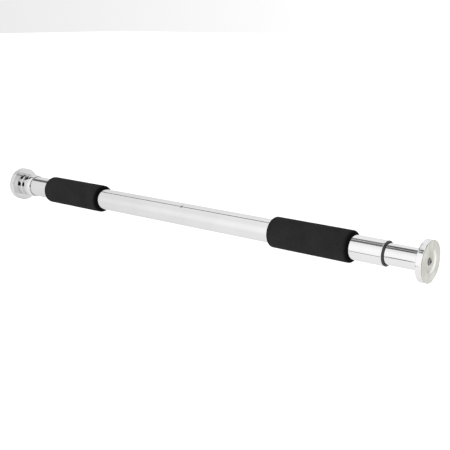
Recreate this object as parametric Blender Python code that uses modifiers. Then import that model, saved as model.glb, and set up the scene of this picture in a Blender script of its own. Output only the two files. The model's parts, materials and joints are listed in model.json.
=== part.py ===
"""Telescopic doorway pull up bar.

A chrome outer tube carries two foam grips. A thinner chrome inner tube slides out of its right
end on a threaded spindle, and a swivelling flange with a rubber pad presses on each door jamb.
The bar lies along X, +Z is up, and the origin is on the bar's axis, midway between the two pad
faces. All lengths are in metres.
"""
import math

import bmesh
import bpy
from mathutils import Vector

# ---- driving dimensions -------------------------------------------------------------------

OVERALL_LENGTH = 0.745       # pad face to pad face, as set in the rest pose
FLANGE_DEPTH = 0.009         # bar side of a flange cup to its pad's wall face
FLANGE_RADIUS = 0.0262
GAP = 0.0003                 # clearance between pieces that touch or slide

OUTER_TUBE_RADIUS = 0.016
OUTER_TUBE_WALL = 0.001
INNER_TUBE_RADIUS = 0.0135
INNER_TUBE_WALL = 0.0012

CRIMP_X = -0.0081            # middle of the spindle plug
CRIMP_DENT_X = -0.0044       # its punched dents
LEFT_GRIP_X = -0.2321        # middles of the two grips
RIGHT_GRIP_X = 0.2103
GRIP_LENGTH = 0.1201
GRIP_RADIUS = 0.0209
GRIP_EDGE = 0.0035           # rounding of a grip's end edges

OUTER_TUBE_END_X = 0.3155    # right end of the outer tube
COLLAR_LENGTH = 0.0016       # black lip of the collar ring outside the tube
COLLAR_RADIUS = 0.0161
COLLAR_SPIGOT = 0.026        # length of the collar ring inside the tube

SPINDLE_RADIUS = 0.006       # M12 thread, modelled plain
PLUG_LENGTH = 0.024
INNER_TUBE_START_X = 0.048
NUT_LENGTH = 0.018
BUSH_LENGTH = 0.030
BUSH_LIP = 0.0027            # lip of the guide bush in front of the inner tube's end
BUSH_CLEARANCE = 0.003       # lip of the guide bush around the spindle
TUBE_PLUG_LENGTH = 0.022
INSERTION_LEFT = 0.180       # longest extension from the rest pose
STOP_LENGTH = 0.006
STOP_CLEARANCE = 0.0018      # around the stop collar in the inner tube
STOP_RUN_OUT = 0.0025        # nut to stop collar beyond the last millimetre of travel
SPINDLE_END = 0.003          # spindle beyond the stop collar
SPINDLE_BEVEL = 0.001        # at both ends of the spindle
PIN_RADIUS = 0.0018
PIN_SINK = 0.0008            # how far a pin's ends lie below its holder's surface
LOCK_PIN_OFFSET = 0.007      # lock pin from the crimp
DRILL_LENGTH = 0.05

NECK_LENGTH = 0.0309         # stepped socket of the left flange
NECK_ROOT_RADIUS = 0.0169    # where the neck's first ring meets the cup
NECK_FLARE = 0.0094          # rising part of each ring
NECK_FLARE_SLOPE = 14.0
NECK_CREST = 0.0012          # rounded crest that ends the first ring
NECK_CREST_SLOPE = 4.0
NECK_GROOVE_RADIUS = 0.0166
NECK_GROOVE = 0.0008         # between the two rings
NECK_END_SLOPE = 12.0        # fall of the second ring where it meets the tube

SCREW_RADIUS = 0.0025        # M5 swivel screw, modelled plain
SCREW_LENGTH = 0.026
SCREW_HEAD_RADIUS = 0.0041
SCREW_HEAD_HEIGHT = 0.0030
SCREW_SOCKET_RADIUS = 0.0020
SCREW_SOCKET_DEPTH = 0.0020

CUP_SHEET = 0.0015           # sheet thickness of a flange cup
CUP_DEPTH = 0.0080           # depth of the cup's rim
CUP_EDGE = 0.0015            # pressed radius of the cup's edge
PLATE_THICKNESS = 0.0020     # steel disc behind the pad
PAD_RECESS_RADIUS = 0.0145
PAD_RECESS_DEPTH = 0.0027
PAD_HOLE_RADIUS = 0.0046
PAD_EDGE = 0.0004
WASHER_THICKNESS = 0.0010
THRUST_THICKNESS = 0.0014    # nylon washer between a tube end and its flange

DENT_RADIUS = 0.0030         # ball of the punch that crimps a tube
DENT_DEPTH = 0.0006
DENT_ANGLE = math.radians(31.0)

ROUND = 48                   # sides of the large turned pieces
SMALL_ROUND = 32             # sides of the small turned pieces

# ---- worked out from them -----------------------------------------------------------------

PAD_FACE_X = OVERALL_LENGTH / 2
FLANGE_X = PAD_FACE_X - FLANGE_DEPTH          # bar side of the right flange cup
OUTER_TUBE_BORE = OUTER_TUBE_RADIUS - OUTER_TUBE_WALL
INNER_TUBE_BORE = INNER_TUBE_RADIUS - INNER_TUBE_WALL
RIGHT = 1.0
LEFT = -1.0

# ---- collections, materials and helpers ---------------------------------------------------


def clear_scene():
    for thing in list(bpy.data.objects):
        bpy.data.objects.remove(thing, do_unlink=True)


def new_collection(name):
    collection = bpy.data.collections.new(name)
    bpy.context.scene.collection.children.link(collection)
    return collection


def material(name, colour, roughness, metallic):
    made = bpy.data.materials.new(name)
    made.use_nodes = True
    shader = made.node_tree.nodes["Principled BSDF"]
    shader.inputs["Base Color"].default_value = (*colour, 1.0)
    shader.inputs["Roughness"].default_value = roughness
    shader.inputs["Metallic"].default_value = metallic
    made.diffuse_color = (*colour, 1.0)
    return made


clear_scene()
PARTS = new_collection("pull_up_bar")
CUTTERS = new_collection("cutters")

CHROME = material("chrome", (0.82, 0.83, 0.85), 0.07, 1.0)
ZINC = material("zinc_steel", (0.56, 0.57, 0.58), 0.35, 1.0)
STEEL = material("turned_steel", (0.40, 0.40, 0.42), 0.40, 1.0)
FOAM = material("black_foam", (0.022, 0.022, 0.023), 0.95, 0.0)
BLACK = material("black_plastic", (0.020, 0.020, 0.022), 0.45, 0.0)
NYLON = material("natural_nylon", (0.80, 0.79, 0.74), 0.50, 0.0)
RUBBER = material("beige_rubber", (0.62, 0.62, 0.55), 0.60, 0.0)


def arc(centre_r, centre_x, radius, start, end, steps):
    """Points (r, x) of an arc; the angles in degrees run from the +r direction towards +x."""
    points = []
    for step in range(steps + 1):
        angle = math.radians(start + (end - start) * step / steps)
        points.append((centre_r + radius * math.cos(angle), centre_x + radius * math.sin(angle)))
    return points


def turned(name, profile, made_of, sides=ROUND, ring=True, side=RIGHT):
    """A piece turned about the bar's axis from a profile of (radius, x) points.

    The profile runs along its outer side from the high-x end to the low-x end. A ring's profile
    closes on itself; a solid one starts and ends on the axis. side LEFT mirrors it in x.
    """
    points = [(radius, side * x) for radius, x in profile]
    if side == LEFT:
        points.reverse()
    mesh = bpy.data.meshes.new(name)
    edges = [(index, index + 1) for index in range(len(points) - 1)]
    if ring:
        edges.append((len(points) - 1, 0))
    mesh.from_pydata([(radius, 0.0, x) for radius, x in points], edges, [])
    piece = bpy.data.objects.new(name, mesh)
    PARTS.objects.link(piece)
    piece.rotation_euler = (0.0, math.pi / 2, 0.0)
    screw = piece.modifiers.new("turn", "SCREW")
    screw.axis = "Z"
    screw.angle = math.tau
    screw.steps = sides
    screw.render_steps = sides
    screw.use_merge_vertices = True
    screw.merge_threshold = 0.00001
    screw.use_smooth_shade = True
    mesh.materials.append(made_of)
    return piece


def tube_profile(outer, bore, low_x, high_x):
    """Profile of a plain ring or tube between two x positions."""
    return [(outer, high_x), (outer, low_x), (bore, low_x), (bore, high_x)]


def cutter_cylinder(name, radius, length, centre, direction, sides=24):
    """A drill: a cylinder along direction, hidden from renders."""
    mesh = bpy.data.meshes.new(name)
    build = bmesh.new()
    bmesh.ops.create_cone(build, cap_ends=True, segments=sides, radius1=radius, radius2=radius,
                          depth=length)
    build.to_mesh(mesh)
    build.free()
    return place_cutter(name, mesh, centre, direction)


def cutter_ball(name, radius, centre):
    mesh = bpy.data.meshes.new(name)
    build = bmesh.new()
    bmesh.ops.create_uvsphere(build, u_segments=20, v_segments=12, radius=radius)
    build.to_mesh(mesh)
    build.free()
    return place_cutter(name, mesh, centre, Vector((0.0, 0.0, 1.0)))


def place_cutter(name, mesh, centre, direction):
    tool = bpy.data.objects.new(name, mesh)
    CUTTERS.objects.link(tool)
    tool.location = centre
    tool.rotation_euler = direction.to_track_quat("Z", "Y").to_euler()
    tool.hide_render = True
    tool.display_type = "WIRE"
    return tool


def cut(piece, tool):
    boolean = piece.modifiers.new("cut_" + tool.name, "BOOLEAN")
    boolean.operation = "DIFFERENCE"
    boolean.solver = "EXACT"
    boolean.object = tool


def around(angle):
    """Direction across the bar, at an angle from +Z towards -Y."""
    return Vector((0.0, -math.sin(angle), math.cos(angle)))


def crimp(piece, name, x, surface_radius, angle):
    """Two opposed punch dents in a tube's outer surface."""
    for index, turn in enumerate((0.0, math.pi)):
        reach = surface_radius + DENT_RADIUS - DENT_DEPTH
        centre = Vector((x, 0.0, 0.0)) + around(angle + turn) * reach
        cut(piece, cutter_ball(f"{name}_{index + 1}", DENT_RADIUS, centre))


def cross_pin(name, x, length, angle):
    """A plain pin across the bar at x."""
    mesh = bpy.data.meshes.new(name)
    build = bmesh.new()
    bmesh.ops.create_cone(build, cap_ends=True, segments=16, radius1=PIN_RADIUS,
                          radius2=PIN_RADIUS, depth=length)
    build.to_mesh(mesh)
    build.free()
    mesh.shade_smooth()
    mesh.set_sharp_from_angle(angle=math.radians(40.0))
    mesh.materials.append(STEEL)
    pin = bpy.data.objects.new(name, mesh)
    PARTS.objects.link(pin)
    pin.location = (x, 0.0, 0.0)
    pin.rotation_euler = around(angle).to_track_quat("Z", "Y").to_euler()
    return pin


# ---- outer tube with its grips and collar -------------------------------------------------


def make_outer_tube():
    """Chromed steel tube from the left flange's socket to the collar ring."""
    low_x = -(FLANGE_X - GAP)
    profile = tube_profile(OUTER_TUBE_RADIUS, OUTER_TUBE_BORE, low_x, OUTER_TUBE_END_X)
    tube = turned("outer_tube", profile, CHROME)
    crimp(tube, "plug_crimp", CRIMP_DENT_X, OUTER_TUBE_RADIUS, DENT_ANGLE)
    return tube


def make_grip(name, centre):
    """Foam sleeve with rounded end edges, pushed onto the outer tube."""
    low_x = centre - GRIP_LENGTH / 2
    high_x = centre + GRIP_LENGTH / 2
    rounding_r = GRIP_RADIUS - GRIP_EDGE
    bore = OUTER_TUBE_RADIUS + GAP
    profile = arc(rounding_r, high_x - GRIP_EDGE, GRIP_EDGE, 90, 0, 4)
    profile += arc(rounding_r, low_x + GRIP_EDGE, GRIP_EDGE, 0, -90, 4)
    profile += [(bore, low_x), (bore, high_x)]
    return turned(name, profile, FOAM)


def make_collar_ring():
    """Black plastic ring at the outer tube's mouth; its spigot guides the inner tube."""
    bore = INNER_TUBE_RADIUS + GAP
    spigot = OUTER_TUBE_BORE - GAP
    lip_low = OUTER_TUBE_END_X + GAP
    lip_high = lip_low + COLLAR_LENGTH
    edge = COLLAR_LENGTH / 4
    profile = [(COLLAR_RADIUS - edge, lip_high), (COLLAR_RADIUS, lip_high - edge)]
    profile += [(COLLAR_RADIUS, lip_low + edge), (COLLAR_RADIUS - edge, lip_low)]
    profile += [(spigot, lip_low), (spigot, OUTER_TUBE_END_X - COLLAR_SPIGOT)]
    profile += [(bore, OUTER_TUBE_END_X - COLLAR_SPIGOT), (bore, lip_high)]
    return turned("collar_ring", profile, BLACK)


# ---- spindle, its plug and its stop -------------------------------------------------------


def make_spindle():
    """Threaded rod pinned in the plug, long enough for the nut's whole travel."""
    plug_low = CRIMP_X - PLUG_LENGTH / 2
    plug_high = CRIMP_X + PLUG_LENGTH / 2
    profile = tube_profile(OUTER_TUBE_BORE - GAP, SPINDLE_RADIUS + GAP, plug_low, plug_high)
    plug = turned("spindle_plug", profile, ZINC)

    stop_low = INNER_TUBE_START_X + NUT_LENGTH + INSERTION_LEFT + STOP_RUN_OUT
    stop_high = stop_low + STOP_LENGTH
    rod_low = plug_low + SPINDLE_BEVEL
    rod_high = stop_high + SPINDLE_END
    bevelled = SPINDLE_RADIUS - SPINDLE_BEVEL
    profile = [(0.0, rod_high), (bevelled, rod_high)]
    profile += [(SPINDLE_RADIUS, rod_high - SPINDLE_BEVEL)]
    profile += [(SPINDLE_RADIUS, rod_low + SPINDLE_BEVEL)]
    profile += [(bevelled, rod_low), (0.0, rod_low)]
    rod = turned("spindle", profile, ZINC, SMALL_ROUND, ring=False)

    stop_radius = INNER_TUBE_BORE - STOP_CLEARANCE
    profile = tube_profile(stop_radius, SPINDLE_RADIUS + GAP, stop_low, stop_high)
    stop = turned("spindle_stop_collar", profile, ZINC, SMALL_ROUND)

    pin_at = {"spindle_lock_pin": (CRIMP_X + LOCK_PIN_OFFSET, OUTER_TUBE_BORE - GAP, plug),
              "spindle_stop_pin": ((stop_low + stop_high) / 2, stop_radius, stop)}
    across = DENT_ANGLE + math.pi / 2
    for name, (x, reach, holder) in pin_at.items():
        cross_pin(name, x, 2 * (reach - PIN_SINK), across)
        drill_at = Vector((x, 0.0, 0.0))
        drill = cutter_cylinder(name + "_drill", PIN_RADIUS + GAP, DRILL_LENGTH, drill_at,
                                around(across))
        cut(holder, drill)
        cut(rod, drill)


# ---- inner tube with its nut and guide bush -----------------------------------------------


def make_inner_tube():
    """Thinner chromed tube from its nut to the right flange."""
    end_x = FLANGE_X - GAP
    profile = tube_profile(INNER_TUBE_RADIUS, INNER_TUBE_BORE, INNER_TUBE_START_X, end_x)
    tube = turned("inner_tube", profile, CHROME)
    nut_centre = INNER_TUBE_START_X + NUT_LENGTH / 2
    crimp(tube, "nut_crimp", nut_centre, INNER_TUBE_RADIUS, DENT_ANGLE)
    return tube


def make_spindle_nut():
    """Nut crimped in the inner tube's inner end, running on the spindle."""
    nut_high = INNER_TUBE_START_X + NUT_LENGTH
    profile = tube_profile(INNER_TUBE_BORE - GAP, SPINDLE_RADIUS + GAP, INNER_TUBE_START_X,
                           nut_high)
    return turned("spindle_nut", profile, ZINC, SMALL_ROUND)


def make_guide_bush():
    """Plastic sleeve on the inner tube's inner end, sliding in the outer tube."""
    low_x = INNER_TUBE_START_X - GAP - BUSH_LIP
    high_x = low_x + BUSH_LENGTH
    outer = OUTER_TUBE_BORE - GAP
    bore = INNER_TUBE_RADIUS + GAP
    lip_bore = SPINDLE_RADIUS + BUSH_CLEARANCE
    profile = [(outer, high_x), (outer, low_x), (lip_bore, low_x)]
    profile += [(lip_bore, low_x + BUSH_LIP), (bore, low_x + BUSH_LIP), (bore, high_x)]
    return turned("guide_bush", profile, NYLON)


# ---- flanges ------------------------------------------------------------------------------


def make_flange(name, side):
    """Chromed cup, backing plate and rubber pad of one end, as distances along the axis."""
    hole = SCREW_RADIUS + 2 * GAP
    start = FLANGE_X
    rim_end = start + CUP_DEPTH
    rim_bore = FLANGE_RADIUS - CUP_SHEET
    edge_centre = FLANGE_RADIUS - CUP_EDGE
    profile = [(rim_bore, rim_end), (FLANGE_RADIUS, rim_end)]
    profile += arc(edge_centre, start + CUP_EDGE, CUP_EDGE, 0, -90, 4)
    profile += [(hole, start), (hole, start + CUP_SHEET), (rim_bore, start + CUP_SHEET)]
    turned(name + "_flange_cup", profile, CHROME, side=side)

    plate_low = start + CUP_SHEET + GAP
    plate_high = plate_low + PLATE_THICKNESS
    profile = tube_profile(rim_bore - GAP, hole, plate_low, plate_high)
    turned(name + "_backing_plate", profile, ZINC, side=side)

    pad_low = plate_high + GAP
    lip_low = rim_end + GAP
    face = start + FLANGE_DEPTH
    floor = face - PAD_RECESS_DEPTH
    profile = [(FLANGE_RADIUS - PAD_EDGE, face), (FLANGE_RADIUS, face - PAD_EDGE)]
    profile += [(FLANGE_RADIUS, lip_low), (rim_bore - GAP, lip_low), (rim_bore - GAP, pad_low)]
    profile += [(PAD_HOLE_RADIUS, pad_low), (PAD_HOLE_RADIUS, floor)]
    profile += [(PAD_RECESS_RADIUS, floor), (PAD_RECESS_RADIUS, face)]
    turned(name + "_pad", profile, RUBBER, side=side)

    washer_low = plate_high + GAP
    washer_high = washer_low + WASHER_THICKNESS
    washer_radius = PAD_HOLE_RADIUS - 2 * GAP
    profile = tube_profile(washer_radius, hole, washer_low, washer_high)
    turned(name + "_screw_washer", profile, ZINC, SMALL_ROUND, side=side)

    head_low = washer_high + GAP
    head_high = head_low + SCREW_HEAD_HEIGHT
    tip = head_low - SCREW_LENGTH
    bevel = 0.0008
    profile = [(0.0, head_high), (SCREW_HEAD_RADIUS - 2 * bevel, head_high)]
    profile += [(SCREW_HEAD_RADIUS, head_high - bevel), (SCREW_HEAD_RADIUS, head_low)]
    profile += [(SCREW_RADIUS, head_low), (SCREW_RADIUS, tip + bevel)]
    profile += [(SCREW_RADIUS - bevel, tip), (0.0, tip)]
    screw = turned(name + "_swivel_screw", profile, ZINC, SMALL_ROUND, ring=False, side=side)
    socket_at = Vector((side * head_high, 0.0, 0.0))
    cut(screw, cutter_cylinder(name + "_hex_key", SCREW_SOCKET_RADIUS, 2 * SCREW_SOCKET_DEPTH,
                               socket_at, Vector((1.0, 0.0, 0.0)), sides=6))


def make_tube_end(name, side, tube_bore):
    """Plug pressed in a tube's end for the swivel screw, and the thrust washer on it."""
    tube_end = FLANGE_X - GAP
    washer_high = tube_end
    washer_low = washer_high - THRUST_THICKNESS
    bore = SCREW_RADIUS + GAP
    profile = tube_profile(tube_bore - GAP, bore, washer_low, washer_high)
    turned(name + "_thrust_washer", profile, NYLON, SMALL_ROUND, side=side)

    plug_high = washer_low - GAP
    plug_low = plug_high - TUBE_PLUG_LENGTH
    profile = tube_profile(tube_bore - GAP, bore, plug_low, plug_high)
    turned(name + "_tube_plug", profile, ZINC, SMALL_ROUND, side=side)


def slope_run(profile, length, start, end, steps):
    """Continue (radius, distance) points away from the flange; slopes in degrees, + rises."""
    radius, distance = profile[-1]
    step = length / steps
    for count in range(steps):
        slope = math.radians(start + (end - start) * (count + 0.5) / steps)
        radius += step * math.tan(slope)
        distance -= step
        profile.append((radius, distance))


def make_left_neck():
    """Stepped chromed socket of the left flange: a flared ring, then a flared, tapering one."""
    bore = OUTER_TUBE_RADIUS + GAP
    base = FLANGE_X - GAP
    sleeve_end = FLANGE_X - NECK_LENGTH
    profile = [(NECK_ROOT_RADIUS, base)]
    slope_run(profile, NECK_FLARE, NECK_FLARE_SLOPE, NECK_CREST_SLOPE, 6)
    slope_run(profile, NECK_CREST, NECK_CREST_SLOPE, -NECK_FLARE_SLOPE, 4)
    shoulder = profile[-1][1]
    profile += [(NECK_GROOVE_RADIUS, shoulder), (NECK_GROOVE_RADIUS, shoulder - NECK_GROOVE)]
    slope_run(profile, NECK_FLARE, NECK_FLARE_SLOPE, NECK_CREST_SLOPE, 6)
    taper = profile[-1][1] - sleeve_end
    slope_run(profile, taper, NECK_CREST_SLOPE, -NECK_END_SLOPE, 8)
    profile += [(bore, sleeve_end), (bore, base)]
    turned("left_neck_socket", profile, CHROME, side=LEFT)


make_outer_tube()
make_grip("left_grip", LEFT_GRIP_X)
make_grip("right_grip", RIGHT_GRIP_X)
make_collar_ring()
make_spindle()
make_inner_tube()
make_spindle_nut()
make_guide_bush()
make_left_neck()
make_tube_end("left", LEFT, OUTER_TUBE_BORE)
make_tube_end("right", RIGHT, INNER_TUBE_BORE)
make_flange("left", LEFT)
make_flange("right", RIGHT)
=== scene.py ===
"""Looks of a telescopic doorway pull up bar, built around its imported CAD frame.

Everything is in metres in the frame of the CAD model: the bar lies along X, +Z is up and the
origin is on the bar's axis, midway between the faces of the two pads.
"""
import json
import math

import bpy
import numpy as np
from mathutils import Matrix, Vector


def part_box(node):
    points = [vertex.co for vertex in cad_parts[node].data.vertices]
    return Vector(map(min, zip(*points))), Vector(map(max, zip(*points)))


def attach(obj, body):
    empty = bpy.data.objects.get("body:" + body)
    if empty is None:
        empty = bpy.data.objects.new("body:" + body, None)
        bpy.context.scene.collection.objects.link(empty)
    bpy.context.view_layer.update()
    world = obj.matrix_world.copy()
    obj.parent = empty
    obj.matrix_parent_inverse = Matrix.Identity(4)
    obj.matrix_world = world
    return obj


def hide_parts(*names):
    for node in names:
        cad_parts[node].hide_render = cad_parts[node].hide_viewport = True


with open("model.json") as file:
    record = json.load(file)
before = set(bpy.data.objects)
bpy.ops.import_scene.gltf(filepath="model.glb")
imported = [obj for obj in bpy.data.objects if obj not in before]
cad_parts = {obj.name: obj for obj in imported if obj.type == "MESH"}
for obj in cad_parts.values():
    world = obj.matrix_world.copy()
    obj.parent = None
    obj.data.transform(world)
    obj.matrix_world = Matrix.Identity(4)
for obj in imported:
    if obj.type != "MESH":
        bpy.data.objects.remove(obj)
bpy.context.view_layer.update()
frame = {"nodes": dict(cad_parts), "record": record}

# ---- sizes that the frame's boxes do not give ---------------------------------------------

GAP = 0.0003                 # clearance between pieces that touch or slide
OUTER_WALL = 0.0010          # wall thicknesses of the two tubes
INNER_WALL = 0.0012
TUBE_LIP = 0.35              # rounding of a tube's end edges, as a share of its wall

DENT_OFFSET = 0.0037         # the outer tube's dents, right of the middle of the plug
DENT_ANGLE = math.radians(31.0)
DENT_REACH = 0.0036          # radius of the dished area around a dent
DENT_DEPTH = 0.00055
DENT_SHADE_REACH = 0.0020         # radius of the painted shade in a dent
DENT_RING_STEP = 0.0005      # spacing of a tube's rings near its dents
DENT_RINGS = 9               # such rings on either side of a dent

CUP_SHEET = 0.0015           # sheet thickness of a flange cup
CUP_BEND = 0.0004            # rounding of the cup's bar-side edge
CUP_LIP = 0.0004             # rounding of the cup's rim
CUP_FLAT = 0.0005            # plain band beside each rounding
SCREW_HOLE = 0.0046          # radius of the hole in a cup and a pad

PAD_RECESS = 0.0145          # radius of the round recess in a pad
PAD_RECESS_DEPTH = 0.0027
PAD_SOFT = 0.0004            # rounding of the recess's edges

NECK_ROOT = 0.0169           # radius where the neck's first ring meets the cup
NECK_GROOVE = 0.0166         # radius of the groove between the two rings
NECK_GROOVE_WIDTH = 0.0008
NECK_FLARE = 0.0094          # length of the rising part of a ring
NECK_FLARE_SLOPE = 14.0      # its slope at the start, in degrees
NECK_CREST = 0.0012          # length of the rounded crest that ends the first ring
NECK_CREST_SLOPE = 4.0
NECK_END_SLOPE = 12.0        # fall of the second ring where it meets the tube

GRIP_EDGE = 0.0040           # rounding of a grip's end edges
GRIP_SNUG = 0.00015          # bore of a grip over the tube
GRIP_CHAMFER = 0.0004        # height of the flat ring at the bore
GRIP_UNEVENNESS = 0.0001

SIDES = 144                  # sides of a turned piece
FINE_SIDES = 192             # sides of a polished one
SHARP_ANGLE = math.radians(34.0)

# ---- helpers for meshes -------------------------------------------------------------------


def link(name, vertices, faces):
    """A new mesh object made of these vertices and faces."""
    mesh = bpy.data.meshes.new(name)
    mesh.from_pydata(vertices, [], faces)
    mesh.update()
    piece = bpy.data.objects.new(name, mesh)
    bpy.context.scene.collection.objects.link(piece)
    return piece


def lathe(name, profile, sides=SIDES, move=None):
    """A ring turned about the bar's axis from (x, radius) points, smooth but for sharp corners.

    The profile closes on itself and runs so that its left-hand side is air, as seen with x to
    the right. move, if given, takes the (n, 3) array of vertices and returns where they go.
    """
    turns = np.arange(sides) * math.tau / sides
    rows = np.array(profile, float)
    count = len(rows)
    radius = rows[:, 1][:, None]
    points = np.empty((count, sides, 3))
    points[:, :, 0] = rows[:, 0][:, None]
    points[:, :, 1] = -radius * np.sin(turns)
    points[:, :, 2] = radius * np.cos(turns)
    vertices = points.reshape(-1, 3)
    if move is not None:
        vertices = move(vertices)
    faces = []
    for row in range(count):
        after = (row + 1) % count
        for turn in range(sides):
            side = (turn + 1) % sides
            faces.append((row * sides + turn, row * sides + side,
                          after * sides + side, after * sides + turn))
    piece = link(name, vertices.tolist(), faces)
    piece.data.shade_smooth()
    piece.data.set_sharp_from_angle(angle=SHARP_ANGLE)
    return piece


def arc(centre_x, centre_r, radius, start, end, steps):
    """Points of an arc in the (x, radius) plane, from start to end in degrees from +x."""
    points = []
    for step in range(steps + 1):
        angle = math.radians(start + (end - start) * step / steps)
        points.append((centre_x + radius * math.cos(angle), centre_r + radius * math.sin(angle)))
    return points


def slope_run(profile, length, start, end, steps):
    """Continue (x, radius) points towards +X; slopes in degrees, positive ones rise."""
    x, radius = profile[-1]
    step = length / steps
    for count in range(steps):
        slope = start + (end - start) * (count + 0.5) / steps
        x += step
        radius += step * math.tan(math.radians(slope))
        profile.append((x, radius))


def mirrored(profile, side):
    """The profile itself at the right end, or its mirror image in x at the left end."""
    if side > 0:
        return profile
    return [(-x, radius) for x, radius in reversed(profile)]


def mark(piece, name, amount):
    """A number at each vertex that the materials read: amount(place) of the vertex."""
    marks = piece.data.attributes.new(name, "FLOAT", "POINT")
    for vertex in piece.data.vertices:
        marks.data[vertex.index].value = amount(vertex.co)


# ---- helpers for materials ----------------------------------------------------------------


class Nodes:
    """A short way to write a node material in the object's own coordinates."""

    def __init__(self, name):
        self.material = bpy.data.materials.new(name)
        self.material.use_nodes = True
        self.tree = self.material.node_tree
        self.shader = self.tree.nodes["Principled BSDF"]
        self.place = self.add("ShaderNodeTexCoord").outputs["Object"]

    def add(self, kind, **settings):
        node = self.tree.nodes.new(kind)
        for key, value in settings.items():
            setattr(node, key, value)
        return node

    def link(self, source, target):
        self.tree.links.new(source, target)

    def scaled(self, scale):
        """Object coordinates stretched by a factor along each axis."""
        mapping = self.add("ShaderNodeMapping")
        self.link(self.place, mapping.inputs["Vector"])
        mapping.inputs["Scale"].default_value = scale
        return mapping.outputs["Vector"]

    def noise(self, scale, detail=3.0, stretch=(1.0, 1.0, 1.0)):
        node = self.add("ShaderNodeTexNoise")
        self.link(self.scaled(stretch), node.inputs["Vector"])
        node.inputs["Scale"].default_value = scale
        node.inputs["Detail"].default_value = detail
        return node.outputs["Fac"]

    def cells(self, scale):
        """Distance to the middle of the nearest of many scattered cells."""
        node = self.add("ShaderNodeTexVoronoi")
        self.link(self.place, node.inputs["Vector"])
        node.inputs["Scale"].default_value = scale
        return node.outputs["Distance"]

    def marked(self, name):
        """A number that the mesh carries at each vertex."""
        return self.add("ShaderNodeAttribute", attribute_name=name).outputs["Fac"]

    def spread(self, value, low, high, to_low=0.0, to_high=1.0):
        """value from low..high mapped to to_low..to_high, and held there outside."""
        node = self.add("ShaderNodeMapRange", clamp=True)
        self.link(value, node.inputs["Value"])
        node.inputs["From Min"].default_value = low
        node.inputs["From Max"].default_value = high
        node.inputs["To Min"].default_value = to_low
        node.inputs["To Max"].default_value = to_high
        return node.outputs["Result"]

    def blend(self, share, first, second):
        """Colour between first and second; each is an (r, g, b) or a socket."""
        node = self.add("ShaderNodeMix", data_type="RGBA")
        self.link(share, node.inputs["Factor"])
        for socket, value in ((node.inputs[6], first), (node.inputs[7], second)):
            if isinstance(value, tuple):
                socket.default_value = (*value, 1.0)
            else:
                self.link(value, socket)
        return node.outputs[2]

    def bump(self, height, strength, distance, below=None):
        node = self.add("ShaderNodeBump")
        self.link(height, node.inputs["Height"])
        node.inputs["Strength"].default_value = strength
        node.inputs["Distance"].default_value = distance
        if below is not None:
            self.link(below, node.inputs["Normal"])
        self.link(node.outputs["Normal"], self.shader.inputs["Normal"])
        return node.outputs["Normal"]

    def plain(self, **values):
        """Sockets of the shader that are the same all over the surface."""
        for name, value in values.items():
            socket = self.shader.inputs[name.replace("_", " ")]
            socket.default_value = (*value, 1.0) if isinstance(value, tuple) else value

    def colour(self, socket):
        self.link(socket, self.shader.inputs["Base Color"])

    def rough(self, socket):
        self.link(socket, self.shader.inputs["Roughness"])


# ---- materials ----------------------------------------------------------------------------


def chrome_material(name, grain_stretch):
    """Bright chrome plate: faint clouds and wipe marks, hairlines and painted shade in the
    dents.
    """
    bright = (0.815, 0.815, 0.815)
    clouded = tuple(channel * 0.955 for channel in bright)
    # painted shade: the dark colour at the middle of each dent
    dent_shade_colour = (0.05, 0.05, 0.05)
    nodes = Nodes(name)
    nodes.plain(Metallic=1.0, Specular_Tint=(0.86, 0.86, 0.86))
    cloud = nodes.noise(26.0, 4.0)
    plate = nodes.blend(nodes.spread(cloud, 0.35, 0.7), bright, clouded)
    nodes.colour(nodes.blend(nodes.marked("dent_shade"), plate, dent_shade_colour))
    wiped = nodes.noise(70.0, 5.0, stretch=(0.35, 1.0, 1.0))
    nodes.rough(nodes.spread(wiped, 0.3, 0.75, 0.035, 0.085))
    hairline = nodes.noise(1500.0, 2.0, stretch=grain_stretch)
    nodes.bump(hairline, 0.05, 0.00002)
    return nodes.material


def foam_material():
    """Closed cell foam rubber: fine pores, a skin worn lighter in patches, dark cut ends."""
    skin_dark = (0.0165, 0.0165, 0.0170)
    skin_worn = (0.0215, 0.0215, 0.0222)
    pore_dark = (0.008, 0.008, 0.008)
    cut_dark = (0.0035, 0.0035, 0.0036)
    nodes = Nodes("foam")
    nodes.plain(Metallic=0.0, Specular_IOR_Level=0.04)
    pores = nodes.cells(900.0)
    grain = nodes.noise(420.0, 5.0)
    patches = nodes.noise(38.0)
    skin = nodes.blend(nodes.spread(patches, 0.3, 0.7), skin_dark, skin_worn)
    pored = nodes.blend(nodes.spread(pores, 0.12, 0.45), pore_dark, skin)
    nodes.colour(nodes.blend(nodes.marked("cut"), pored, cut_dark))
    nodes.rough(nodes.spread(grain, 0.3, 0.7, 0.82, 0.98))
    pore_normal = nodes.bump(pores, 0.35, 0.00025)
    nodes.bump(grain, 0.30, 0.0004, below=pore_normal)
    return nodes.material


def rubber_material():
    """Beige grey soft rubber: mottled, with darker streaks and a painted highlight on the
    recess's wall.
    """
    dull = (0.46, 0.46, 0.41)
    light = (0.62, 0.62, 0.575)
    streak_dark = (0.40, 0.40, 0.36)
    # painted highlight: the lighter colour of the recess's wall
    painted_highlight_colour = (0.80, 0.80, 0.78)
    nodes = Nodes("pad_rubber")
    nodes.plain(Metallic=0.0, Specular_IOR_Level=0.4)
    mottle = nodes.noise(60.0, 4.0)
    streak = nodes.noise(160.0, stretch=(1.0, 1.0, 0.25))
    base = nodes.blend(nodes.spread(mottle, 0.36, 0.62), dull, light)
    streaked = nodes.blend(nodes.spread(streak, 0.45, 0.75, 0.0, 0.45), base, streak_dark)
    nodes.colour(nodes.blend(nodes.marked("recess_wall_highlight"), streaked, painted_highlight_colour))
    nodes.rough(nodes.spread(mottle, 0.3, 0.7, 0.42, 0.62))
    nodes.bump(nodes.noise(900.0, 4.0), 0.25, 0.0001)
    return nodes.material


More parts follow.
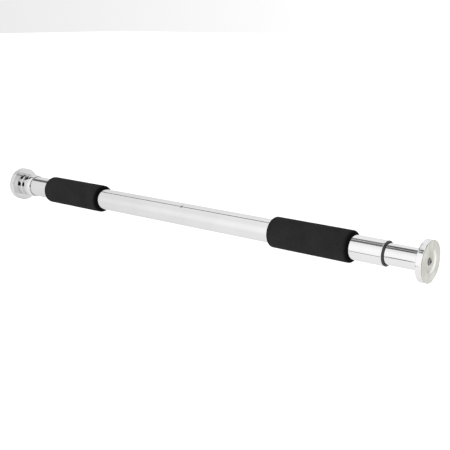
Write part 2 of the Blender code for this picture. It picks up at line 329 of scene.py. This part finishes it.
def moulded_material(name, light, dark, roughness):
    """Moulded plastic with a fine spark-eroded grain."""
    nodes = Nodes(name)
    nodes.plain(Metallic=0.0)
    grain = nodes.noise(1400.0)
    nodes.colour(nodes.blend(nodes.spread(nodes.noise(90.0), 0.3, 0.7), dark, light))
    nodes.rough(nodes.spread(grain, 0.3, 0.7, roughness - 0.07, roughness + 0.07))
    nodes.bump(grain, 0.2, 0.00005)
    return nodes.material


def zinc_material(name, light, dark, roughness):
    """Zinc plated or bare steel: spangled tone, turning marks around the bar's axis."""
    nodes = Nodes(name)
    nodes.plain(Metallic=1.0)
    spangle = nodes.noise(240.0, 4.0)
    nodes.colour(nodes.blend(nodes.spread(spangle, 0.35, 0.65), dark, light))
    nodes.rough(nodes.spread(spangle, 0.3, 0.7, roughness - 0.08, roughness + 0.10))
    turning = nodes.noise(900.0, 2.0, stretch=(3.0, 0.15, 0.15))
    nodes.bump(turning, 0.15, 0.00005)
    return nodes.material


def grey(level):
    return (level, level, level)


SLOT_MATERIALS = {
    "chrome_tube": chrome_material("chrome_tube", grain_stretch=(0.02, 1.0, 1.0)),
    "chrome_flange": chrome_material("chrome_flange", grain_stretch=(1.0, 1.0, 1.0)),
    "foam": foam_material(),
    "pad_rubber": rubber_material(),
    "black_plastic": moulded_material("black_plastic", (0.024, 0.024, 0.026),
                                      (0.016, 0.016, 0.017), 0.42),
    "nylon": moulded_material("nylon", (0.80, 0.79, 0.73), (0.72, 0.71, 0.65), 0.45),
    "zinc_steel": zinc_material("zinc_steel", (0.62, 0.63, 0.64), (0.50, 0.51, 0.52), 0.34),
    "screw_steel": zinc_material("screw_steel", grey(0.34), grey(0.24), 0.42),
    "pin_steel": zinc_material("pin_steel", (0.42, 0.42, 0.43), (0.33, 0.33, 0.34), 0.40),
}

SLOT_OF_NODE = {row["node"]: row["material_slot"] for row in frame["record"]["subparts"]}
BODY_OF_NODE = {}
for body_name, members in frame["record"]["behaviour"]["bodies"].items():
    for member in members:
        BODY_OF_NODE[member] = body_name

for node_name, node_object in frame["nodes"].items():
    node_object.data.materials.clear()
    node_object.data.materials.append(SLOT_MATERIALS[SLOT_OF_NODE[node_name]])


def finish_piece(piece, node):
    """Gives a piece its CAD node's material, body and slot, and lets it stand for the node."""
    piece.data.materials.append(SLOT_MATERIALS[SLOT_OF_NODE[node]])
    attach(piece, BODY_OF_NODE[node])
    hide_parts(node)


# ---- places read from the frame -----------------------------------------------------------


def span(node):
    """Lowest x, highest x and outer radius of a CAD node turned about the bar's axis."""
    low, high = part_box(node)
    return low.x, high.x, high.z


def middle(node):
    low, high, _ = span(node)
    return (low + high) / 2


def outward_span(node, side):
    """Distances from the origin to the bar side and the jamb side of a flange's node."""
    low, high, radius = span(node)
    return (low, high, radius) if side > 0 else (-high, -low, radius)


_, OUTER_END, OUTER_RADIUS = span("outer_tube")
_, _, INNER_RADIUS = span("inner_tube")

# ---- tubes --------------------------------------------------------------------------------


def dent_places(x, radius):
    """Middles of the two opposed dents at x, each with its direction out of the tube."""
    places = []
    for turn in (DENT_ANGLE, DENT_ANGLE + math.pi):
        out = np.array([0.0, -math.sin(turn), math.cos(turn)])
        places.append((np.array([x, 0.0, 0.0]) + radius * out, out))
    return places


def dented(vertices, x, radius):
    """Presses two opposed punch dents into the outer surface at x."""
    for centre, out in dent_places(x, radius):
        far = np.linalg.norm(vertices - centre, axis=1) / DENT_REACH
        dish = np.clip(1.0 - far * far, 0.0, 1.0) ** 2
        vertices = vertices - (DENT_DEPTH * dish)[:, None] * out
    return vertices


def make_tube(node, wall, dent_x):
    """A tube with rolled end edges, dense rings near its dents and none that bend its shine."""
    low, high, radius = span(node)
    lip = wall * TUBE_LIP
    bore = radius - wall
    profile = [(high, bore), (low, bore)]
    profile += arc(low + lip, radius - lip, lip, 180, 90, 4)
    profile += [(low + 3 * lip, radius)]
    for step in range(-DENT_RINGS, DENT_RINGS + 1):
        profile.append((dent_x + step * DENT_RING_STEP, radius))
    profile += [(high - 3 * lip, radius)]
    profile += arc(high - lip, radius - lip, lip, 90, 0, 4)
    tube = lathe(node + "_skin", profile, FINE_SIDES,
                 move=lambda vertices: dented(vertices, dent_x, radius))
    places = [Vector(centre) for centre, _ in dent_places(dent_x, radius)]

    # painted shade in each dent: 1 at its middle, falling to 0 at the edge of the dark spot
    def dent_shade(place):
        nearest = min((place - centre).length for centre in places) / DENT_SHADE_REACH
        return max(0.0, 1.0 - nearest * nearest)

    mark(tube, "dent_shade", dent_shade)
    finish_piece(tube, node)


make_tube("outer_tube", OUTER_WALL, middle("spindle_plug") + DENT_OFFSET)
make_tube("inner_tube", INNER_WALL, middle("spindle_nut"))

# ---- collar ring --------------------------------------------------------------------------


def make_collar():
    """Ring at the outer tube's mouth, with a rounded lip and a spigot inside the tube."""
    low, high, radius = span("collar_ring")
    lip_low = OUTER_END + GAP
    bore = INNER_RADIUS + GAP
    spigot = OUTER_RADIUS - OUTER_WALL - GAP
    edge = (high - lip_low) * 0.35
    profile = [(high, bore + edge / 2), (high - edge / 2, bore), (low, bore), (low, spigot)]
    profile += [(lip_low, spigot)]
    profile += arc(lip_low + edge, radius - edge, edge, 180, 90, 6)
    profile += arc(high - edge, radius - edge, edge, 90, 0, 6)
    collar = lathe("collar_ring_moulding", profile)
    finish_piece(collar, "collar_ring")


make_collar()

# ---- flanges ------------------------------------------------------------------------------


def make_cup(name, side):
    """Pressed cup with a rolled bar-side edge."""
    node = name + "_flange_cup"
    start, rim_end, radius = outward_span(node, side)
    bore = radius - CUP_SHEET
    profile = [(start, SCREW_HOLE), (start, radius - CUP_BEND - 0.0006)]
    profile += arc(start + CUP_BEND, radius - CUP_BEND, CUP_BEND, 180, 90, 10)
    profile += [(start + CUP_BEND + CUP_FLAT, radius), (rim_end - CUP_LIP - CUP_FLAT, radius)]
    profile += arc(rim_end - CUP_LIP, radius - CUP_LIP, CUP_LIP, 90, 0, 4)
    profile += [(rim_end, bore), (start + CUP_SHEET, bore), (start + CUP_SHEET, SCREW_HOLE)]
    cup = lathe(name + "_cup_pressing", mirrored(profile, side), FINE_SIDES)
    finish_piece(cup, node)


def make_pad(name, side):
    """Moulded pad: a lip over the cup's rim, a round recess and the hole for the screw."""
    node = name + "_pad"
    inner_end, face, radius = outward_span(node, side)
    _, rim_end, cup_radius = outward_span(name + "_flange_cup", side)
    lip_low = rim_end + GAP
    plug = cup_radius - CUP_SHEET - GAP
    floor = face - PAD_RECESS_DEPTH
    edge = (face - lip_low) * 0.45
    profile = [(inner_end, SCREW_HOLE), (inner_end, plug), (lip_low, plug)]
    profile += arc(lip_low + edge, radius - edge, edge, 180, 90, 5)
    profile += arc(face - edge, radius - edge, edge, 90, 0, 5)
    profile += arc(face - PAD_SOFT, PAD_RECESS + PAD_SOFT, PAD_SOFT, 0, -90, 4)
    profile += arc(floor + PAD_SOFT, PAD_RECESS - PAD_SOFT, PAD_SOFT, 90, 180, 4)
    profile += [(floor, SCREW_HOLE)]
    pad = lathe(name + "_pad_moulding", mirrored(profile, side))

    # painted highlight on the recess's wall: 1 on the wall, 0 elsewhere
    def recess_wall_highlight(place):
        on_wall = floor + PAD_SOFT / 2 < abs(place.x) < face - PAD_SOFT / 2
        near = math.hypot(place.y, place.z) < PAD_RECESS + PAD_SOFT / 2
        return float(on_wall and near)

    mark(pad, "recess_wall_highlight", recess_wall_highlight)
    finish_piece(pad, node)


def make_neck():
    """Socket of the left flange: a flared ring, a groove, then a flared and tapering ring."""
    low, high, _ = span("left_neck_socket")
    bore = OUTER_RADIUS + GAP
    profile = [(low, bore), (low, NECK_ROOT)]
    slope_run(profile, NECK_FLARE, NECK_FLARE_SLOPE, NECK_CREST_SLOPE, 24)
    slope_run(profile, NECK_CREST, NECK_CREST_SLOPE, -NECK_FLARE_SLOPE, 12)
    shoulder = profile[-1][0]
    profile += [(shoulder, NECK_GROOVE), (shoulder + NECK_GROOVE_WIDTH, NECK_GROOVE)]
    slope_run(profile, NECK_FLARE, NECK_FLARE_SLOPE, NECK_CREST_SLOPE, 24)
    slope_run(profile, high - profile[-1][0], NECK_CREST_SLOPE, -NECK_END_SLOPE, 24)
    profile += [(high, bore)]
    neck = lathe("left_neck_turning", profile, FINE_SIDES)
    finish_piece(neck, "left_neck_socket")


for end_name, end_side in (("left", -1), ("right", 1)):
    make_cup(end_name, end_side)
    make_pad(end_name, end_side)
make_neck()

# ---- foam grips ---------------------------------------------------------------------------


def make_grip(node):
    """Foam sleeve: rounded soft ends, a slightly uneven skin and a snug bore."""
    low, high, radius = span(node)
    bore = OUTER_RADIUS + GRIP_SNUG
    chamfer = bore + GRIP_CHAMFER
    first_ring = low + GRIP_EDGE
    last_ring = high - GRIP_EDGE
    profile = [(low, bore), (low, chamfer)]
    profile += arc(first_ring, radius - GRIP_EDGE, GRIP_EDGE, 180, 90, 10)
    profile += [(x, radius) for x in np.linspace(first_ring, last_ring, 40)[1:-1]]
    profile += arc(last_ring, radius - GRIP_EDGE, GRIP_EDGE, 90, 0, 10)
    profile += [(high, chamfer), (high, bore)]

    def uneven(vertices):
        """Two slow waves that wind along the sleeve; they only ever press inwards."""
        x, y, z = vertices.T
        turn = np.arctan2(-y, z)
        wave = np.sin(x * 171.0 + 2.0 * turn) + np.sin(x * 93.0 - 3.0 * turn + 1.3)
        outside = np.clip((np.hypot(y, z) - bore) / (radius - bore), 0.0, 1.0)
        inward = 1.0 - GRIP_UNEVENNESS * (2.0 + wave) / 4.0 * outside / radius
        return np.stack([x, y * inward, z * inward], axis=1)

    def cut(place):
        """1 on the cut end faces, falling to 0 a little beyond the rounded edges."""
        inside = min(place.x - low, high - place.x)
        return min(max(1.25 - inside / GRIP_EDGE, 0.0), 1.0)

    grip = lathe(node + "_foam", profile, move=uneven)
    mark(grip, "cut", cut)
    finish_piece(grip, node)


make_grip("left_grip")
make_grip("right_grip")

# ---- camera -------------------------------------------------------------------------------


def make_camera():
    camera = bpy.data.cameras.new("camera")
    camera.sensor_width = 36.0
    camera.lens = 63.46
    camera.clip_start = 0.05
    camera.clip_end = 100.0
    holder = bpy.data.objects.new("camera", camera)
    bpy.context.scene.collection.objects.link(holder)
    holder.location = (0.7216, -0.8501, 0.2773)
    elevation = math.radians(14.697)
    azimuth = math.radians(37.560)
    holder.rotation_euler = (math.pi / 2 - elevation, 0.0, azimuth)
    bpy.context.scene.camera = holder


# ---- studio -------------------------------------------------------------------------------

CEILING = 1.0                # height of the ceiling cards over the bar's axis
FLOOR = -0.45
FLOOR_REACH = 30.0
RIGHT_WALL = 2.5             # x of the cards beyond the bar's right end
FRONT_WALL = -1.15           # y of the low cards in front of the bar
REAR_WALL = 1.15             # y of the low card behind it


def emitter(name, strength):
    """White light of this strength."""
    made = bpy.data.materials.new(name)
    made.use_nodes = True
    tree = made.node_tree
    tree.nodes.clear()
    glow = tree.nodes.new("ShaderNodeEmission")
    glow.inputs["Color"].default_value = (1.0, 1.0, 1.0, 1.0)
    glow.inputs["Strength"].default_value = strength
    out = tree.nodes.new("ShaderNodeOutputMaterial")
    tree.links.new(glow.outputs[0], out.inputs["Surface"])
    return made


def card(name, corners, level):
    """A flat grey or black studio card that only reflections see."""
    piece = link(name, corners, [tuple(range(len(corners)))])
    piece.data.materials.append(emitter(name, level))
    piece.visible_camera = False
    piece.visible_diffuse = False
    piece.visible_shadow = False
    piece.visible_transmission = False


def overhead(name, left, right, y_low, y_high, level):
    """A ceiling card; each side edge (x, k) follows what the bar at x reflects, at slope k."""
    depths = np.linspace(y_low, y_high, 9)

    def side(edge):
        return [(edge[0] - edge[1] * math.hypot(1.0, y), y, CEILING) for y in depths]

    card(name, side(left) + side(right)[::-1], level)


def upright(name, y, x_low, x_high, z_low, z_high, level):
    """A card that stands along the bar, at y."""
    card(name, [(x_low, y, z_low), (x_high, y, z_low), (x_high, y, z_high),
                (x_low, y, z_high)], level)


def sideways(name, outline, level):
    """A card across the end of the room, from its (y, z) outline."""
    card(name, [(RIGHT_WALL, y, z) for y, z in outline], level)


def make_cards():
    """Cards whose reflections are the dark lines and spots on the chrome."""
    outer_end = (0.3167, 0.4527)     # edge lines: where the outer tube ends,
    inner_end = (0.3633, 0.4010)     # where the inner tube ends,
    rim_end = (0.380, 0.380)         # and beyond the right cup's rim
    overhead("outer_front", (-0.40, 0.0), outer_end, -0.45, -0.07, 0.19)
    overhead("outer_back", (-0.40, 0.0), outer_end, -0.02, 0.29, 0.23)
    overhead("inner_front", outer_end, inner_end, -0.37, -0.02, 0.15)
    overhead("inner_back", outer_end, inner_end, 0.03, 0.50, 0.13)
    overhead("rim_front", inner_end, rim_end, -0.80, -0.58, 0.04)
    overhead("rim_back", inner_end, rim_end, -0.52, -0.34, 0.04)
    overhead("middle", (-1.25, 0.0), (-0.42, 0.0), 0.08, 0.20, 0.05)
    overhead("left", (-0.364, 1.215), (-1.41, 0.0), -0.25, 0.34, 0.17)
    overhead("neck_top", (-1.40, 0.0), (-1.20, 0.0), -0.25, 0.34, 0.0)
    overhead("neck_crest", (-2.4, 0.0), (-0.376, 1.28), -0.30, 0.34, 0.0)
    overhead("rear_high", (0.05, 0.0), (1.40, 0.0), 0.03, 0.12, 0.15)
    overhead("rear_higher", (0.05, 0.0), (1.40, 0.0), 0.16, 0.30, 0.20)
    sideways("far_low", [(-2.40, -0.50), (-0.35, -0.50), (-0.35, 0.60), (-2.40, 0.60)], 0.0)
    sideways("far_high", [(-0.8, 1.60), (-0.1, 1.05), (1.4, 1.05), (1.4, 2.00),
                          (-0.8, 2.00)], 0.0)
    upright("low_outer", FRONT_WALL, -0.42, -0.23, -0.57, -0.46, 0.22)
    upright("low_inner", FRONT_WALL, -0.22, -0.13, -0.48, -0.27, 0.22)
    upright("rear_low", REAR_WALL, -0.40, 1.60, -0.57, -0.46, 0.20)


def make_world():
    """White surroundings: darker to the far left and the far right, brighter in front."""
    world = bpy.data.worlds.new("studio")
    bpy.context.scene.world = world
    world.use_nodes = True
    tree = world.node_tree
    background = tree.nodes["Background"]
    direction = tree.nodes.new("ShaderNodeTexCoord").outputs["Generated"]

    def ramp(value, low, high, to_low, to_high):
        node = tree.nodes.new("ShaderNodeMapRange")
        tree.links.new(value, node.inputs["Value"])
        for name, number in (("From Min", low), ("From Max", high), ("To Min", to_low),
                             ("To Max", to_high)):
            node.inputs[name].default_value = number
        return node.outputs["Result"]

    def joined(operation, first, second):
        node = tree.nodes.new("ShaderNodeMath")
        node.operation = operation
        tree.links.new(first, node.inputs[0])
        tree.links.new(second, node.inputs[1])
        return node.outputs["Value"]

    split = tree.nodes.new("ShaderNodeSeparateXYZ")
    tree.links.new(direction, split.inputs["Vector"])
    front = tree.nodes.new("ShaderNodeVectorMath")
    front.operation = "DOT_PRODUCT"
    tree.links.new(direction, front.inputs[0])
    front.inputs[1].default_value = (0.0, -0.985, 0.174)
    to_left = ramp(split.outputs["X"], -0.80, -0.52, 0.845, 1.01)
    softbox = ramp(front.outputs["Value"], 0.62, 0.88, 0.0, 0.16)
    to_right = ramp(split.outputs["X"], 0.05, 0.55, 1.0, 0.84)
    strength = joined("MULTIPLY", joined("ADD", to_left, softbox), to_right)
    tree.links.new(strength, background.inputs["Strength"])
    background.inputs["Color"].default_value = (1.0, 1.0, 1.0, 1.0)


def make_floor():
    """Plain white floor, which the chrome does not reflect."""
    corners = [(-FLOOR_REACH, -FLOOR_REACH, FLOOR), (FLOOR_REACH, -FLOOR_REACH, FLOOR),
               (FLOOR_REACH, FLOOR_REACH, FLOOR), (-FLOOR_REACH, FLOOR_REACH, FLOOR)]
    floor = link("floor", corners, [(0, 1, 2, 3)])
    paint = bpy.data.materials.new("white_floor")
    paint.use_nodes = True
    shader = paint.node_tree.nodes["Principled BSDF"]
    shader.inputs["Base Color"].default_value = (0.93, 0.93, 0.93, 1.0)
    shader.inputs["Roughness"].default_value = 0.9
    shader.inputs["Emission Color"].default_value = (1.0, 1.0, 1.0, 1.0)
    shader.inputs["Emission Strength"].default_value = 0.15
    floor.data.materials.append(paint)
    floor.visible_glossy = False


def make_key():
    """Soft sun from the front right."""
    sun = bpy.data.lights.new("key", "SUN")
    sun.energy = 1.2
    sun.angle = math.radians(25.0)
    key = bpy.data.objects.new("key", sun)
    key.rotation_euler = Vector((0.35, -0.85, 0.40)).to_track_quat("Z", "Y").to_euler()
    key.visible_glossy = False
    bpy.context.scene.collection.objects.link(key)


make_camera()
make_world()
make_floor()
make_key()
make_cards()

view = bpy.context.scene.view_settings
view.view_transform = "Standard"
view.look = "None"
view.exposure = 0.0
view.gamma = 1.0
